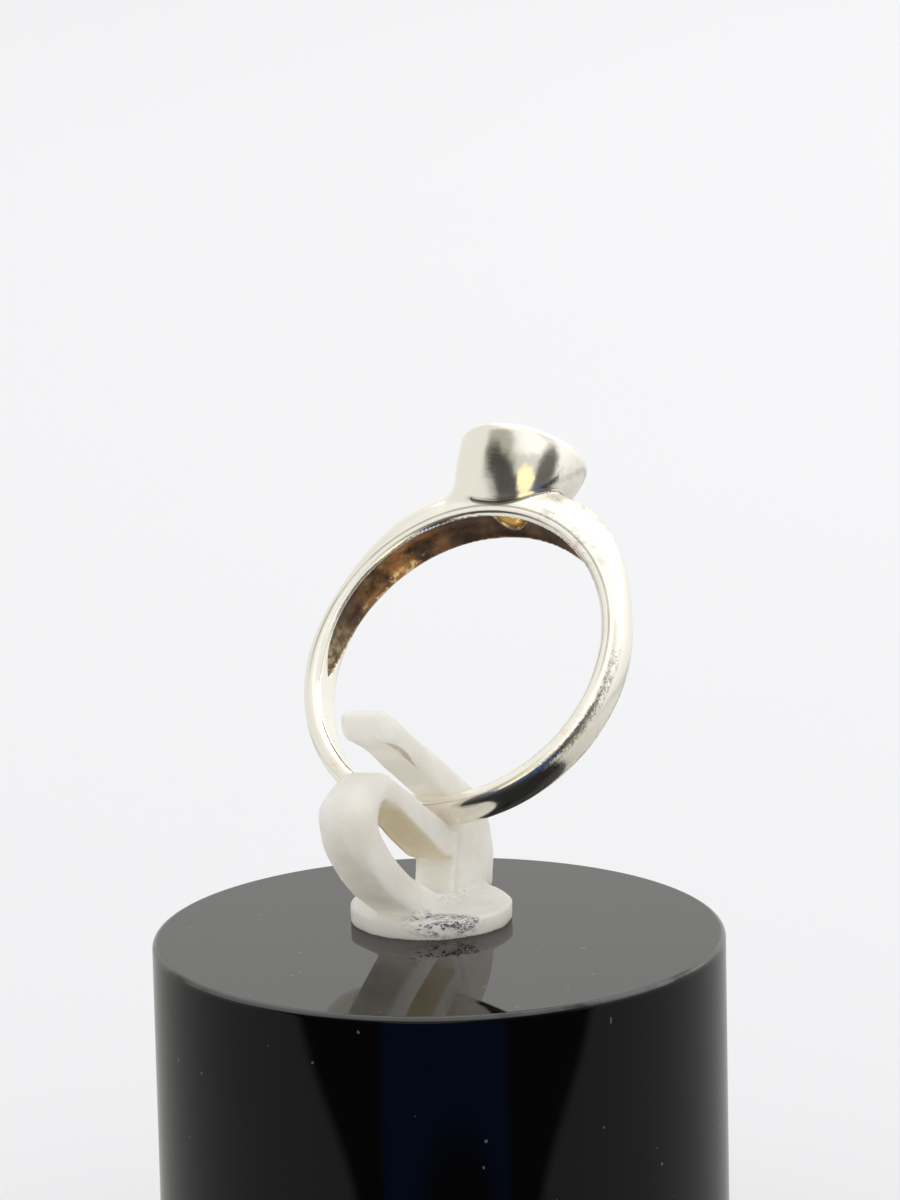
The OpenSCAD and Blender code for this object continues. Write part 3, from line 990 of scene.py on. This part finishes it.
def make_studio():
    """A plain pale backdrop and soft lights, and the room that polished pieces mirror.

    The room has pale walls, dark shapes with a blue stripe around the camera, and a golden glare.
    """
    world = bpy.data.worlds.new("studio")
    bpy.context.scene.world = world
    world.use_nodes = True
    nodes = Nodes(world.node_tree)
    sky = nodes.add("ShaderNodeTexCoord", output="Generated")
    ray = nodes.stretch(sky, (0, 0, -VIEW_AZIMUTH), (1, 1, 1))
    parts = nodes.add("ShaderNodeSeparateXYZ", {0: ray}).output.node.outputs
    x, y, z = (Socket(nodes, part) for part in parts)
    degrees = 180 / math.pi
    azimuth = x.math("ARCTAN2", x, 0 - y) * degrees
    elevation = z.math("ARCSINE", z) * degrees
    wander = (nodes.noise(ray, 7, 4, 0.6) - 0.5) * nodes.step(*WANDER_ABOVE, elevation)
    azimuth = azimuth + wander * WANDER_ACROSS
    elevation = elevation + wander * WANDER_UP

    def inside(patch):
        up = elevation - patch.elevation
        across = azimuth - patch.azimuth - up * patch.lean
        off = (across / patch.half_w) ** 2 + (up / patch.half_h) ** 2
        return 1 - nodes.step(1 - patch.blur, 1 + patch.blur, off)

    def wall(heights, low_colour, high_colour):
        return nodes.mix(nodes.step(*heights, elevation), low_colour, high_colour)

    room = nodes.mix(nodes.step(-0.7, 0.1, x), wall(*LEFT_WALL), wall(*RIGHT_WALL))
    for patch, share, colour in GREYS:
        room = nodes.mix(inside(patch) * share, room, colour)

    low_half, high_half = DARK_HALF_W
    half = low_half + (high_half - low_half) * nodes.step(*DARK_STEP, elevation)
    body = 1 - nodes.step(half - DARK_BLUR, half + DARK_BLUR, abs(azimuth - DARK_MIDDLE))
    body = body * (1 - nodes.step(*DARK_TOP, elevation))
    lobes = (inside(LEFT_LOBE) * 0.95).larger(inside(RIGHT_LOBE) * 0.9)
    dark = body.larger(lobes * nodes.step(*LOBE_FOOT, elevation))
    blue = nodes.span(azimuth, *BLUE_SIDES) * nodes.span(elevation, *BLUE_ENDS)
    room = nodes.mix(nodes.span(elevation, *HAZE_ENDS) * 0.3, room, HAZE)
    room = nodes.mix(dark, room, INK)
    room = nodes.mix(blue * (1 - inside(BLUE_GAP)), room, BLUE)
    room = nodes.mix(inside(GLARE), room, GLARE_GOLD)

    seen = nodes.add("ShaderNodeLightPath", output="Is Camera Ray")
    lit = nodes.add("ShaderNodeLightPath", output="Is Diffuse Ray")
    colour = nodes.mix(seen + lit, room, BACKDROP)
    nodes.fill(world.node_tree.nodes["Background"], {"Color": colour, "Strength": ROOM_STRENGTH})
    for name, spec in SOFTBOXES.items():
        softbox(name, *spec)


bpy.context.scene.view_settings.view_transform = "Standard"
make_camera()
make_studio()
make_floor()
make_ring()
make_stone()
make_clip()
make_pedestal()

bpy.context.view_layer.update()
